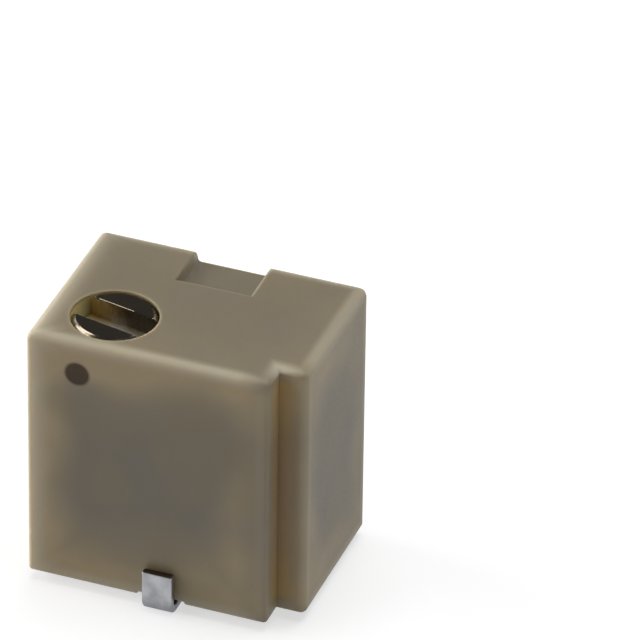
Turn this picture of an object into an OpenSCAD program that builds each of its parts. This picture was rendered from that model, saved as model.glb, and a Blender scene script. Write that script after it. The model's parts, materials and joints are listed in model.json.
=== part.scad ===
// Multi-turn surface-mount trimmer potentiometer with hook terminals.
// Millimetres. +Z is up, the front is -Y, and Z 0 is the plane that the three terminals stand on.

/* [Body] */
// Width of the moulded body, left to right
body_w = 5.0; // [4.9:0.1:6]
// Depth of the moulded body, front to back
body_d = 3.5; // [3.5:0.1:4.5]
// Height of the moulded body, without the terminals below it
body_h = 5.05; // [4.9:0.05:6]
// Radius of the edges round the top face
top_edge_r = 0.17; // [0.05:0.01:0.22]
// Radius of the upright edges
side_edge_r = 0.12; // [0.05:0.01:0.2]
// Radius of the edges round the mounting face
bottom_edge_r = 0.06; // [0.03:0.01:0.08]
// Width of the step in the front right corner
step_w = 0.52; // [0.3:0.02:0.56]
// Depth of the step in the front right corner
step_d = 0.52; // [0.3:0.02:0.6]
// Width of the recess round the moulding gate, in the top face
gate_w = 1.4; // [0.8:0.1:2]
// Length of that recess, forward from the back face
gate_l = 1.05; // [0.5:0.05:1.2]
// Depth of that recess, down from the top face
gate_depth = 0.25; // [0.1:0.01:0.3]
// Width of the channel across the mounting face
channel_w = 0.88; // [0.8:0.02:1.1]
// Depth of that channel
channel_depth = 0.06; // [0.05:0.01:0.2]

/* [Walls] */
// Thickness of the left and right walls
side_wall = 0.4; // [0.35:0.01:0.42]
// Thickness of the front wall
front_wall = 0.3; // [0.2:0.01:0.32]
// Thickness of the back wall
back_wall = 0.4; // [0.3:0.01:0.42]
// Thickness of the top wall
top_wall = 0.6; // [0.4:0.05:0.65]
// Thickness of the wall inside the corner step
step_wall = 0.3; // [0.2:0.01:0.32]
// Thickness of the base that closes the case from below
base_t = 0.7; // [0.6:0.05:0.75]
// Clearance between the base and the case
base_clearance = 0.015; // [0.01:0.005:0.02]
// Width of the sealing bead round the base
seal_w = 0.08; // [0.04:0.01:0.08]
// Height of the sealing bead
seal_h = 0.15; // [0.1:0.01:0.2]

/* [Adjustment screw] */
// Distance from the left face to the axis of the screw
screw_from_left = 1.25; // [1.22:0.01:1.32]
// Distance from the front face to the axis of the screw
screw_from_front = 1.0; // [0.97:0.01:1.05]
// Diameter of the slotted head
head_d = 1.52; // [1.3:0.02:1.52]
// Length of the head
head_l = 0.64; // [0.6:0.02:0.7]
// Depth of the head's face below the top face
head_recess = 0; // [0:0.01:0.1]
// Bevel round the head's face
head_bevel = 0.08; // [0.02:0.01:0.08]
// Width of the driver slot
slot_w = 0.6; // [0.3:0.05:0.65]
// Depth of the driver slot
slot_depth = 0.4; // [0.3:0.02:0.52]
// Direction of the driver slot at rest, in degrees from the X axis
slot_angle = -12; // [-90:1:90]
// Radial clearance between the head and its bore
bore_clearance = 0.02; // [0.02:0.01:0.04]
// Width of the groove that holds the O-ring
ring_groove_l = 0.35; // [0.34:0.01:0.38]
// Diameter of the screw inside that groove
ring_groove_d = 0.88; // [0.84:0.02:0.96]
// Radial clearance of the O-ring on each side
ring_clearance = 0.01; // [0.005:0.005:0.015]
// Length of the land between the two grooves
land_l = 0.12; // [0.1:0.01:0.14]
// Diameter of the screw inside the retainer's groove
neck_d = 0.66; // [0.56:0.02:0.7]
// Thickness of the retainer
retainer_t = 0.12; // [0.08:0.01:0.14]
// Clearance of the retainer on each face and round the neck
retainer_clearance = 0.03; // [0.02:0.005:0.035]
// Diameter of the journal at the foot of the screw
journal_d = 0.5; // [0.36:0.02:0.52]
// Radial clearance of the journal in its bearing
journal_clearance = 0.02; // [0.015:0.005:0.03]
// Length of the journal inside its bearing
journal_l = 0.8; // [0.5:0.05:0.85]
// Wall of the bearing round the journal
bearing_wall = 0.23; // [0.15:0.01:0.26]
// Height of the bearing above the base
bearing_h = 0.98; // [0.9:0.01:1.1]

/* [Worm drive] */
// Tooth module of the worm wheel
tooth_module = 0.15; // [0.14:0.002:0.15]
// Number of teeth on the worm wheel
wheel_teeth = 15; // [14:1:15]
// Pitch diameter of the worm
worm_pitch_d = 0.9; // [0.86:0.01:0.92]
// Width of the toothed rim
face_w = 0.6; // [0.4:0.05:0.64]
// Play between thread and tooth at the pitch line
backlash = 0.036; // [0.03:0.002:0.06]
// Pressure angle of the thread and the teeth
pressure_angle = 20; // [18:1:22]
// Height of the wheel's axis above the middle of the room
wheel_rise = 0.025; // [-0.02:0.005:0.05]

/* [Rotor] */
// Diameter of the hub that carries the wheel
hub_d = 1.2; // [1:0.05:1.3]
// Clearance of the wheel on its hub
clutch_clearance = 0.01; // [0.005:0.005:0.02]
// Height of the lip that keeps the wheel on its hub
lip_h = 0.08; // [0.05:0.01:0.1]
// Diameter of the pivot post in the case
pivot_d = 0.56; // [0.4:0.02:0.6]
// Length of the pivot post
pivot_l = 0.7; // [0.5:0.05:0.72]
// Radial clearance of the rotor on its post
pivot_clearance = 0.02; // [0.015:0.005:0.03]
// Diameter of the flange that carries the contact spring
flange_d = 2.7; // [2.64:0.02:2.72]
// Thickness of the flange
flange_t = 0.23; // [0.18:0.01:0.25]
// How far the stop lug stands out of the flange
lug_h = 0.13; // [0.08:0.01:0.14]
// Half of the wiper's travel, in degrees
half_travel = 132; // [120:1:134]

/* [Element] */
// Clearance between the ceramic substrate and each side wall
substrate_clearance = 0.05; // [0.02:0.01:0.15]
// Thickness of the ceramic substrate
substrate_t = 0.48; // [0.44:0.01:0.48]
// Thickness of the printed films
film_t = 0.02; // [0.01:0.005:0.025]
// Mean diameter of the resistive track
track_d = 2.3; // [2.2:0.02:2.32]
// Width of the resistive track
track_w = 0.4; // [0.3:0.02:0.42]
// Half of the angle that the track covers, in degrees
track_half_angle = 140; // [138:1:145]
// Diameter of the collector's disc
collector_d = 0.8; // [0.6:0.05:1]

/* [Contact spring] */
// Thickness of the spring's sheet
spring_t = 0.08; // [0.05:0.01:0.08]
// Width of the spring's ring
spring_ring_w = 0.47; // [0.42:0.01:0.48]
// Width of one finger
finger_w = 0.08; // [0.06:0.01:0.08]
// Gap between the fingers
finger_gap = 0.03; // [0.02:0.005:0.03]
// Gap left between a finger's tip and its film
tip_gap = 0.012; // [0.01:0.002:0.02]

/* [Terminals] */
// Width of the terminal strip
terminal_w = 0.56; // [0.4:0.02:0.7]
// Thickness of the terminal strip
terminal_t = 0.15; // [0.12:0.01:0.16]
// Gap between the strip and the faces of the body
terminal_gap = 0.04; // [0.03:0.01:0.06]
// Distance between the two end terminals, centre to centre
terminal_pitch = 2.4; // [2.2:0.05:2.6]
// Distance from the front or back face to the inner side of a strip's exit
exit_inset = 0.67; // [0.64:0.01:0.7]
// Inner radius of the bend where a strip leaves the mounting face
exit_bend_r = 0.06; // [0.04:0.01:0.07]
// Inner radius of the bend round the edge of the body
wrap_bend_r = 0.1; // [0.08:0.01:0.12]
// Height of the wiper terminal on the front face
front_rise = 0.66; // [0.4:0.02:0.9]
// Height of the end terminals on the back face
back_rise = 0.42; // [0.3:0.02:0.6]

/* [Hidden] */
$fn = 48;
past = 0.5; // how far a cut runs past the face it opens
sunk = 0.1; // how far a feature is sunk into the wall that carries it
seat_gap = 0.01; // gap between pieces that are set against each other
solder_t = 0.12; // how far the solder rises above the end of a terminal
open_gap = 0.06; // gap round a piece that only has to stay clear

// Faces of the body
left = -body_w / 2;
right = body_w / 2;
front = -body_d / 2;
back = body_d / 2;
bottom = terminal_t + terminal_gap;
top = bottom + body_h;
ceiling = top - top_wall;
base_top = bottom + base_t;

// Screw, from the head down
screw_x = left + screw_from_left;
screw_y = front + screw_from_front;
head_r = head_d / 2;
bore_r = head_r + bore_clearance;
boss_wall = 0.22;
mouth_bevel = 0.02;
boss_r = bore_r + boss_wall;
head_top = top - head_recess;
head_foot = head_top - head_l;
ring_groove_foot = head_foot - ring_groove_l;
land_foot = ring_groove_foot - land_l;
boss_foot = land_foot - retainer_clearance;
retainer_top = land_foot - retainer_clearance;
retainer_foot = retainer_top - retainer_t;
worm_top = retainer_foot - retainer_clearance;
bearing_top = base_top + bearing_h;
worm_foot = bearing_top + retainer_clearance;
worm_l = worm_top - worm_foot;
journal_foot = bearing_top - journal_l;
ring_section = bore_r - ring_groove_d / 2 - 2 * ring_clearance;
ring_axis_r = ring_groove_d / 2 + ring_clearance + ring_section / 2;

// Worm and wheel
worm_lead = PI * tooth_module;
root_depth = 1.25 * tooth_module; // below the pitch line
worm_pitch_r = worm_pitch_d / 2;
worm_tip_r = worm_pitch_r + tooth_module;
worm_root_r = worm_pitch_r - root_depth;
tooth_t = worm_lead / 2 - backlash;
wheel_pitch_r = tooth_module * wheel_teeth / 2;
wheel_tip_r = wheel_pitch_r + tooth_module;
wheel_root_r = wheel_pitch_r - root_depth;
wheel_base_r = wheel_pitch_r * cos(pressure_angle);
wheel_x = screw_x + worm_pitch_r + wheel_pitch_r;
wheel_z = (base_top + ceiling) / 2 + wheel_rise;
wheel_twist = face_w * worm_lead / (2 * PI * worm_pitch_r) / wheel_pitch_r * 180 / PI;
thread_points = 24;
slices_per_turn = 12;

// Depths of the layers behind the front wall
inner_front = front + front_wall;
inner_back = back - back_wall;
wheel_front = screw_y - face_w / 2;
wheel_back = screw_y + face_w / 2;
lip_reach = 0.2;
hub_front = wheel_front - lip_reach;
neck_back = screw_y + worm_tip_r + open_gap;
flange_back = neck_back + flange_t;
spring_back = flange_back + spring_t;
leg_front = back - exit_inset + seat_gap;
substrate_back = leg_front - film_t;
substrate_front = substrate_back - substrate_t;
film_front = substrate_front - film_t;
tip_y = film_front - tip_gap;
substrate_w = body_w - 2 * side_wall - 2 * substrate_clearance;
substrate_foot = base_top + open_gap;
substrate_top = ceiling - open_gap;
flange_r = flange_d / 2;
pad_h = 0.4; // height of a film pad on the substrate
tab_h = 0.3; // how far the wiper's tab reaches up its pad
leg_h = 0.65; // how far the legs of the end terminals reach up the substrate
tab_top = substrate_foot + tab_h;
leg_top = substrate_foot + leg_h;

// Spring and the posts that hold it
ring_outer = (track_d - track_w) / 2;
ring_inner = ring_outer - spring_ring_w;
stake_r = 0.1;
stake_from_axis = (ring_outer + ring_inner) / 2;
stake_below = 20; // degrees below the horizontal
lug_half_angle = 8;
stop_play = 0.5; // degrees left between the lug and a stop
stop_angle = half_travel + lug_half_angle + stop_play;

// A direction from the wheel's axis, in degrees from straight up
function aim(a) = [sin(a), cos(a)];

// A rectangle with its own radius at each corner: lower left, lower right, upper right, upper left
module rounded_rect(w, h, r) {
    polygon([[r[0], 0], [w - r[1], 0], [w, r[1]], [w, h - r[2]],
             [w - r[2], h], [r[3], h], [0, h - r[3]], [0, r[0]]]);
    translate([r[0], r[0]]) circle(r[0]);
    translate([w - r[1], r[1]]) circle(r[1]);
    translate([w - r[2], h - r[2]]) circle(r[2]);
    translate([r[3], h - r[3]]) circle(r[3]);
}

// Extrudes an outline drawn in X and Z along Y, between two depths
module along_y(from, to) {
    translate([0, to, 0]) rotate([90, 0, 0]) linear_extrude(to - from) children();
}

// Extrudes an outline drawn in Y and Z along X, between two places
module along_x(from, to) {
    translate([from, 0, 0]) rotate([90, 0, 90]) linear_extrude(to - from) children();
}

// A block with rounded edges: the overlap of its three outlines
module rounded_block(x0, x1, y0, y1) {
    upright = [side_edge_r, side_edge_r, side_edge_r, side_edge_r];
    lying = [bottom_edge_r, bottom_edge_r, top_edge_r, top_edge_r];
    intersection() {
        translate([x0, y0, bottom]) linear_extrude(body_h) rounded_rect(x1 - x0, y1 - y0, upright);
        along_y(y0, y1) translate([x0, bottom]) rounded_rect(x1 - x0, body_h, lying);
        along_x(x0, x1) translate([y0, bottom]) rounded_rect(y1 - y0, body_h, lying);
    }
}

// Plan of the space inside the walls, drawn in by an inset
function room_plan(inset) =
    let(x0 = left + side_wall + inset, x1 = right - side_wall - inset,
        xs = right - step_w - step_wall - inset,
        y0 = inner_front + inset, y1 = inner_back - inset,
        ys = front + step_d + step_wall + inset)
    [[x0, y0], [xs, y0], [xs, ys], [x1, ys], [x1, y1], [x0, y1]];

module room(from, to, inset) {
    translate([0, 0, from]) linear_extrude(to - from) polygon(room_plan(inset));
}

module channel() {
    corner = 0.8 * channel_depth;
    along_y(front - past, back + past)
        translate([-channel_w / 2, bottom - channel_depth])
            rounded_rect(channel_w, 2 * channel_depth, [corner, corner, corner, corner]);
}

// What is left standing inside the case: screw boss, pivot post, rails and bar for the substrate, ledge
module case_inner_features() {
    rail_w = 0.4;
    rail_front = substrate_back + seat_gap;
    bar_t = 0.18;
    bar_h = 0.34;
    ledge_w = side_wall + 0.13;
    ledge_l = 1.3;
    ledge_h = 0.3;
    translate([screw_x, screw_y, boss_foot]) cylinder(h = ceiling - boss_foot + past, r = boss_r);
    along_y(inner_front - past, inner_front + pivot_l) translate([wheel_x, wheel_z]) circle(pivot_d / 2);
    for (x = [left, right - side_wall - rail_w])
        translate([x, rail_front, substrate_foot])
            cube([side_wall + rail_w, inner_back + past - rail_front, ceiling - substrate_foot + past]);
    translate([left, film_front - seat_gap - bar_t, ceiling - bar_h]) cube([body_w, bar_t, bar_h + past]);
    translate([left, inner_front - past, retainer_foot - seat_gap - ledge_h])
        cube([ledge_w, past + ledge_l, ledge_h]);
}

module case() {
    color("#8c8571")
        difference() {
            union() {
                rounded_block(left, right - step_w, front, back);
                rounded_block(left, right, front + step_d, back);
            }
            translate([-gate_w / 2, back - gate_l, top - gate_depth]) cube([gate_w, gate_l + past, past]);
            channel();
            difference() {
                room(bottom - past, ceiling, 0);
                case_inner_features();
            }
            translate([screw_x, screw_y, boss_foot - past])
                cylinder(h = top - boss_foot + 2 * past, r = bore_r);
            translate([screw_x, screw_y, top - mouth_bevel])
                cylinder(h = 2 * mouth_bevel, r1 = bore_r, r2 = bore_r + 2 * mouth_bevel);
        }
}

// A saddle on the base, round the foot of the flange: its faces stop the lug at both ends of its travel
module stop_saddle() {
    lug_r = flange_r + lug_h;
    half_w = lug_r * sin(stop_angle);
    saddle_gap = 0.03;
    saddle_r = flange_r + saddle_gap;
    along_y(neck_back + seat_gap, flange_back - seat_gap)
        translate([wheel_x, wheel_z])
            difference() {
                intersection() {
                    polygon([[0, 0], 3 * lug_r * aim(stop_angle), 3 * lug_r * aim(-stop_angle)]);
                    translate([-half_w, base_top - sunk - wheel_z]) square([2 * half_w, lug_r]);
                }
                circle(saddle_r);
            }
}

// The plate, the bearing for the journal, two posts in front of the substrate, and the saddle
module base_body() {
    post_w = 0.45;
    post_t = 0.19;
    post_h = 0.35;
    room(bottom, bottom + seal_h, base_clearance + seal_w);
    room(bottom + seal_h, base_top, base_clearance);
    translate([screw_x, screw_y, base_top - sunk])
        cylinder(h = bearing_top - base_top + sunk, r = journal_d / 2 + journal_clearance + bearing_wall);
    for (x = [-substrate_w / 2, substrate_w / 2 - post_w])
        translate([x, film_front - seat_gap - post_t, base_top - sunk])
            cube([post_w, post_t, post_h + sunk]);
    stop_saddle();
}

module base() {
    color("#857e6b")
        difference() {
            base_body();
            channel();
            translate([screw_x, screw_y, journal_foot - open_gap])
                cylinder(h = past + bearing_top - journal_foot, r = journal_d / 2 + journal_clearance);
            end_terminal(-1);
            end_terminal(1);
            wiper_terminal_strip();
        }
}

module sealing_bead() {
    color("#857e6b")
        difference() {
            room(bottom, bottom + seal_h, 0);
            room(bottom - past, bottom + seal_h + past, base_clearance + seal_w);
            channel();
        }
}

// Radius of the thread at an axial distance from the middle of its crest
function thread_r(a) =
    let(slope = tan(pressure_angle),
        crest = tooth_t / 2 - (worm_tip_r - worm_pitch_r) * slope,
        root = tooth_t / 2 + (worm_pitch_r - worm_root_r) * slope)
    a <= crest ? worm_tip_r : a >= root ? worm_root_r
    : worm_tip_r - (a - crest) / (root - crest) * (worm_tip_r - worm_root_r);

// A right-hand thread with one start, made by twisting its cross-section up the axis
module worm() {
    outline = [for (i = [0:thread_points - 1])
        let(turn = i * 360 / thread_points, near = turn > 180 ? 360 - turn : turn)
        thread_r(near / 360 * worm_lead) * [cos(turn), sin(turn)]];
    crest_angle = -360 * (wheel_z - worm_foot) / worm_lead;
    translate([0, 0, worm_foot])
        linear_extrude(worm_l, twist = -360 * worm_l / worm_lead,
                       slices = ceil(slices_per_turn * worm_l / worm_lead), $fn = thread_points)
            rotate(crest_angle) polygon(outline);
}

module adjustment_screw() {
    color("#a59d8c")
        translate([screw_x, screw_y, 0])
            difference() {
                union() {
                    translate([0, 0, head_foot]) cylinder(h = head_l - head_bevel, r = head_r);
                    translate([0, 0, head_top - head_bevel])
                        cylinder(h = head_bevel, r1 = head_r, r2 = head_r - head_bevel);
                    translate([0, 0, land_foot]) cylinder(h = head_foot - land_foot, r = ring_groove_d / 2);
                    translate([0, 0, land_foot]) cylinder(h = land_l, r = head_r);
                    translate([0, 0, worm_top]) cylinder(h = land_foot - worm_top, r = neck_d / 2);
                    worm();
                    translate([0, 0, journal_foot])
                        cylinder(h = worm_foot - journal_foot, r = journal_d / 2);
                }
                rotate(slot_angle)
                    translate([-head_d, -slot_w / 2, head_top - slot_depth])
                        cube([2 * head_d, slot_w, slot_depth + past]);
            }
}

module screw_o_ring() {
    color("#2b2522")
        translate([screw_x, screw_y, (head_foot + ring_groove_foot) / 2])
            rotate_extrude() translate([ring_axis_r, 0]) circle(ring_section / 2);
}

// A flat fork that slides over the screw's neck, under the boss, and keeps clear of the wheel's teeth
module screw_retainer() {
    slot_r = neck_d / 2 + retainer_clearance;
    teeth_at_plate = sqrt(max(0, pow(wheel_tip_r, 2) - pow(retainer_foot - wheel_z, 2)));
    plate_back = screw_y + worm_tip_r + 2 * seat_gap;
    plate_right = min(screw_x + worm_tip_r + 4 * seat_gap, wheel_x - teeth_at_plate - open_gap);
    plate_left = left + side_wall + 2 * seat_gap;
    plate_front = inner_front + 2 * seat_gap;
    color("#8f9296")
        translate([0, 0, retainer_foot])
            linear_extrude(retainer_t)
                difference() {
                    translate([plate_left, plate_front])
                        square([plate_right - plate_left, plate_back - plate_front]);
                    translate([screw_x, screw_y]) circle(slot_r);
                    translate([screw_x - slot_r, screw_y]) square([2 * slot_r, body_d]);
                }
}

// Half of the angle that a tooth fills at a radius, from the involute of its base circle
function involute(r) = let(a = acos(min(1, wheel_base_r / r))) tan(a) * 180 / PI - a;
function tooth_half_angle(r) =
    tooth_t / 2 / wheel_pitch_r * 180 / PI + involute(wheel_pitch_r) - involute(max(r, wheel_base_r));

module tooth_outline() {
    steps = 4;
    flank_h = wheel_tip_r - wheel_base_r;
    radii = concat([wheel_root_r], [for (i = [0:steps]) wheel_base_r + flank_h * i / steps]);
    side = [for (r = radii) [r, tooth_half_angle(r)]];
    rising = [for (p = side) p[0] * [cos(p[1]), -sin(p[1])]];
    falling = [for (i = [len(side) - 1:-1:0]) side[i][0] * [cos(side[i][1]), sin(side[i][1])]];
    outline = concat(rising, falling);
    for (i = [0:wheel_teeth - 1])
        rotate(180 + (i + 0.5) * 360 / wheel_teeth) polygon(concat([[0, 0]], outline));
}

module worm_wheel() {
    color("#e6e1d2")
        difference() {
            translate([wheel_x, wheel_back, wheel_z])
                rotate([90, 0, 0])
                    linear_extrude(face_w, twist = -wheel_twist, slices = 3)
                        rotate(-wheel_twist / 2)
                            union() {
                                circle(wheel_root_r, $fn = 60);
                                tooth_outline();
                            }
            along_y(wheel_front - past, wheel_back + past)
                translate([wheel_x, wheel_z]) circle(hub_d / 2 + clutch_clearance);
        }
}

// Hub, flange and stop lug in one moulding; the wheel slips on the hub past either stop
module rotor_hub() {
    lip_t = 0.12;
    shoulder_h = 0.25;
    neck_r = hub_d / 2 + shoulder_h;
    thrust_gap = 0.05;
    color("#3a3733")
        difference() {
            union() {
                along_y(hub_front, neck_back) translate([wheel_x, wheel_z]) circle(hub_d / 2);
                along_y(wheel_front - lip_t, wheel_front - seat_gap)
                    translate([wheel_x, wheel_z]) circle(hub_d / 2 + lip_h);
                along_y(wheel_back + seat_gap, neck_back) translate([wheel_x, wheel_z]) circle(neck_r);
                along_y(neck_back, flange_back) translate([wheel_x, wheel_z]) circle(flange_r);
                along_y(neck_back, flange_back)
                    translate([wheel_x, wheel_z])
                        intersection() {
                            circle(flange_r + lug_h);
                            polygon([[0, 0], for (a = [-lug_half_angle, lug_half_angle])
                                     2 * flange_r * [sin(a), cos(a)]]);
                        }
                stakes(stake_r);
            }
            along_y(hub_front - past, inner_front + pivot_l + thrust_gap)
                translate([wheel_x, wheel_z]) circle(pivot_d / 2 + pivot_clearance);
        }
}

// Two posts on the flange that hold the spring, or the holes for them at a larger radius
module stakes(r) {
    for (side = [-1, 1])
        along_y(flange_back - sunk / 2, spring_back + sunk / 2)
            translate([wheel_x, wheel_z])
                rotate(-side * stake_below)
                    translate([side * stake_from_axis, 0]) circle(r);
}

// A finger bent out of the sheet, drawn in X and Y from its root to its tip, which rests on a film
module finger(root_x, tip_x) {
    way = sign(tip_x - root_x);
    tip_r = 0.6 * spring_t;
    polygon([[root_x - way * tip_r / 2, flange_back], [root_x + way * 2 * tip_r, flange_back],
             [tip_x + way * tip_r / 2, tip_y - 1.6 * tip_r], [tip_x - way * tip_r, tip_y - 0.8 * tip_r],
             [root_x, spring_back]]);
    translate([tip_x, tip_y - tip_r]) circle(tip_r);
}

module contact_spring() {
    arm_z = track_d / 2;
    fingers_w = 3 * finger_w + 2 * finger_gap;
    finger_l = 0.42;
    root_lap = finger_w / 2;
    arm_w = 0.2;
    color("#c9a25a") {
        difference() {
            along_y(flange_back, spring_back)
                translate([wheel_x, wheel_z])
                    difference() {
                        union() {
                            circle(ring_outer);
                            translate([root_lap - finger_l - arm_w, 0])
                                square([arm_w, arm_z + fingers_w / 2]);
                        }
                        circle(ring_inner);
                    }
            stakes(stake_r + seat_gap);
        }
        for (i = [-1:1])
            translate([wheel_x, 0, wheel_z + arm_z + i * (finger_w + finger_gap) - finger_w / 2])
                linear_extrude(finger_w) finger(-finger_l, 0);
        for (i = [-0.5, 0.5])
            translate([wheel_x, 0, wheel_z + i * (finger_w + finger_gap) - finger_w / 2])
                linear_extrude(finger_w) finger(ring_inner + root_lap, 0);
    }
}

module ceramic_substrate() {
    color("#f0eee8")
        translate([-substrate_w / 2, substrate_front, substrate_foot])
            cube([substrate_w, substrate_t, substrate_top - substrate_foot]);
}

module track_outline() {
    far = 2 * track_d;
    translate([wheel_x, wheel_z])
        difference() {
            circle(track_d / 2 + track_w / 2);
            circle(track_d / 2 - track_w / 2);
            polygon([[0, 0], far * aim(-track_half_angle), [0, -far], far * aim(track_half_angle)]);
        }
}

module resistive_track() {
    color("#26231f") along_y(film_front, substrate_front) track_outline();
}

// A straight lead between two points of the film
module lead(from, to, w) {
    span = to - from;
    translate(from)
        rotate(atan2(span[1], span[0]))
            translate([0, -w / 2]) square([norm(span), w]);
}

// A film that runs from an end of the track to the foot of the substrate and round to its back
module end_electrode(side) {
    x = side * terminal_pitch / 2;
    lead_w = 0.3;
    lead_lap = 3; // degrees of the track that the lead overlaps
    wrap_top = leg_top + solder_t + open_gap;
    track_end = [wheel_x, wheel_z] + track_d / 2 * aim(side * (track_half_angle - lead_lap));
    color("#c8c8c4") {
        along_y(film_front, substrate_front)
            difference() {
                union() {
                    lead(track_end, [x, substrate_foot + pad_h / 2], lead_w);
                    translate([x - terminal_w / 2, substrate_foot - film_t])
                        square([terminal_w, pad_h + film_t]);
                }
                track_outline();
            }
        translate([x - terminal_w / 2, film_front, substrate_foot - film_t])
            cube([terminal_w, substrate_t + 2 * film_t, film_t]);
        translate([x - terminal_w / 2, substrate_back, substrate_foot - film_t])
            cube([terminal_w, film_t, wrap_top - substrate_foot + film_t]);
    }
}

module collector_electrode() {
    lead_w = 0.25;
    color("#c8c8c4")
        along_y(film_front, substrate_front) {
            translate([wheel_x, wheel_z]) circle(collector_d / 2);
            lead([0, substrate_foot + pad_h / 2], [wheel_x, wheel_z], lead_w);
            translate([-terminal_w / 2, substrate_foot]) square([terminal_w, pad_h]);
        }
}

// A quarter of a ring, in one of the four quadrants about its centre
module quarter_ring(r_in, across, up) {
    reach = r_in + terminal_t;
    intersection() {
        difference() {
            circle(reach);
            circle(r_in);
        }
        translate([across > 0 ? 0 : -reach, up > 0 ? 0 : -reach]) square(reach);
    }
}

// Side view of a strip: down out of the mounting face, outward along it, and up a face of the body
module hook_outline(leg_in, leg_end, rise) {
    exit_z = terminal_t + exit_bend_r;
    foot_in = leg_in + exit_z;
    wrap_z = terminal_t + wrap_bend_r;
    foot_out = back + bottom - wrap_z;
    translate([leg_in, exit_z]) square([terminal_t, leg_end - exit_z]);
    translate([foot_in, exit_z]) quarter_ring(exit_bend_r, -1, -1);
    translate([foot_in, 0]) square([foot_out - foot_in, terminal_t]);
    translate([foot_out, wrap_z]) quarter_ring(wrap_bend_r, 1, -1);
    translate([foot_out + wrap_bend_r, wrap_z]) square([terminal_t, bottom + rise - wrap_z]);
}

module end_terminal(side) {
    x = side * terminal_pitch / 2;
    color("#b3b5b8")
        along_x(x - terminal_w / 2, x + terminal_w / 2)
            hook_outline(leg_front, leg_top, back_rise);
}

// The wiper's strip also runs back through the base to a tab on the collector
module wiper_terminal_strip() {
    run_z = bottom + base_t / 2 + seat_gap;
    bend = terminal_t + exit_bend_r;
    leg_in = back - exit_inset - seat_gap;
    tab_front = film_front - terminal_t;
    color("#b3b5b8")
        along_x(-terminal_w / 2, terminal_w / 2) {
            mirror([1, 0]) hook_outline(leg_in, run_z + terminal_t - bend, front_rise);
            translate([-leg_in - terminal_t + bend, run_z + terminal_t - bend])
                quarter_ring(exit_bend_r, -1, 1);
            translate([-leg_in - terminal_t + bend, run_z])
                square([tab_front + terminal_t - bend + leg_in + terminal_t - bend, terminal_t]);
            translate([tab_front + terminal_t - bend, run_z + bend]) quarter_ring(exit_bend_r, 1, -1);
            translate([tab_front, run_z + bend]) square([terminal_t, tab_top - run_z - bend]);
        }
}

// A fillet of solder over the end of a terminal, drawn in Y and Z: a hollow curve from the strip to the film
module solder_joint(x, wall_y, way, foot_z) {
    steps = 5;
    inset = 0.2 * terminal_t;
    reach = terminal_t - seat_gap;
    color("#bfc1c3")
        along_x(x - terminal_w / 2 + inset, x + terminal_w / 2 - inset)
            polygon(concat([[wall_y, foot_z]], [for (i = [0:steps])
                let(turn = 90 * i / steps)
                [wall_y + way * reach * (1 - sin(turn)), foot_z + solder_t * (1 - cos(turn))]]));
}

case();
base();
sealing_bead();
adjustment_screw();
screw_o_ring();
screw_retainer();
worm_wheel();
rotor_hub();
contact_spring();
ceramic_substrate();
resistive_track();
end_electrode(-1);  // end_electrode_left
end_electrode(1);  // end_electrode_right
collector_electrode();
end_terminal(-1);  // end_terminal_left
end_terminal(1);  // end_terminal_right
wiper_terminal_strip();  // wiper_terminal
solder_joint(-terminal_pitch / 2, leg_front, 1, leg_top);  // solder_joint_left
solder_joint(terminal_pitch / 2, leg_front, 1, leg_top);  // solder_joint_right
solder_joint(0, film_front, -1, tab_top);  // solder_joint_wiper
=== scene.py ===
"""An upright surface-mount trimmer potentiometer, put together piece by piece in the frame of its solids."""
import json
import math

import bmesh
import bpy
import numpy as np
from mathutils import Matrix, Vector


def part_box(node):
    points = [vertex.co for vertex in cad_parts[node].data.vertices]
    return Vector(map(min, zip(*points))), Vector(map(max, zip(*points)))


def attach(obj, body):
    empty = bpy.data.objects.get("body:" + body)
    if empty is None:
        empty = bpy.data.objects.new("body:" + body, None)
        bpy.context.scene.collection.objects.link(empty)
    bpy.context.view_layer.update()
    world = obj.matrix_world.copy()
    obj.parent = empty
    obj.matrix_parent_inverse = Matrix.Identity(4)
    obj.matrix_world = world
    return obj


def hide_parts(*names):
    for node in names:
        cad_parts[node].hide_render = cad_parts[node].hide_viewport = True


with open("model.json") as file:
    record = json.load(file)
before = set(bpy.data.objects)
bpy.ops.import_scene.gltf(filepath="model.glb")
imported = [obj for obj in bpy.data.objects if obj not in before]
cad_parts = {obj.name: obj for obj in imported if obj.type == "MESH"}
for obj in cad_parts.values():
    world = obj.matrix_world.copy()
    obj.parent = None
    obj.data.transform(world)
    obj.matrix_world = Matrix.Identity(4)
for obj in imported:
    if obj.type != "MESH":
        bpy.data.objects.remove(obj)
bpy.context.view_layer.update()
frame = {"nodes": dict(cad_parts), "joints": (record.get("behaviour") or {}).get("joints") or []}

# The case.
# A cup of glass-filled resin, moulded in one shot and open at the bottom. The mould gives it rounded
# upper edges, a step down one corner, a sunk gate mark at the back and a bore for the screw.
MM = 0.001
case_low, case_high = (np.array(corner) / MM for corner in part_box("case"))
left, front, bottom = case_low
right, back, top = case_high
screw_x, screw_y = np.array(frame["joints"][0]["pos_m"][:2]) / MM
wheel_x, wheel_z = np.array(frame["joints"][1]["pos_m"])[[0, 2]] / MM
step_w, step_d = 0.52, 0.52
gate_w, gate_l, gate_depth, gate_draft = 1.4, 1.05, 0.25, 0.06
channel_w, channel_depth = 0.88, 0.06
side_wall, front_wall, back_wall, top_wall, step_wall = 0.4, 0.3, 0.4, 0.6, 0.3
bore_r, boss_r, boss_l, bore_sides = 0.78, 1.0, 0.54, 96
post_sides = 48
# Every cutting tool reaches this far past the surface that it opens
past = 0.5
ceiling = top - top_wall


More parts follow.
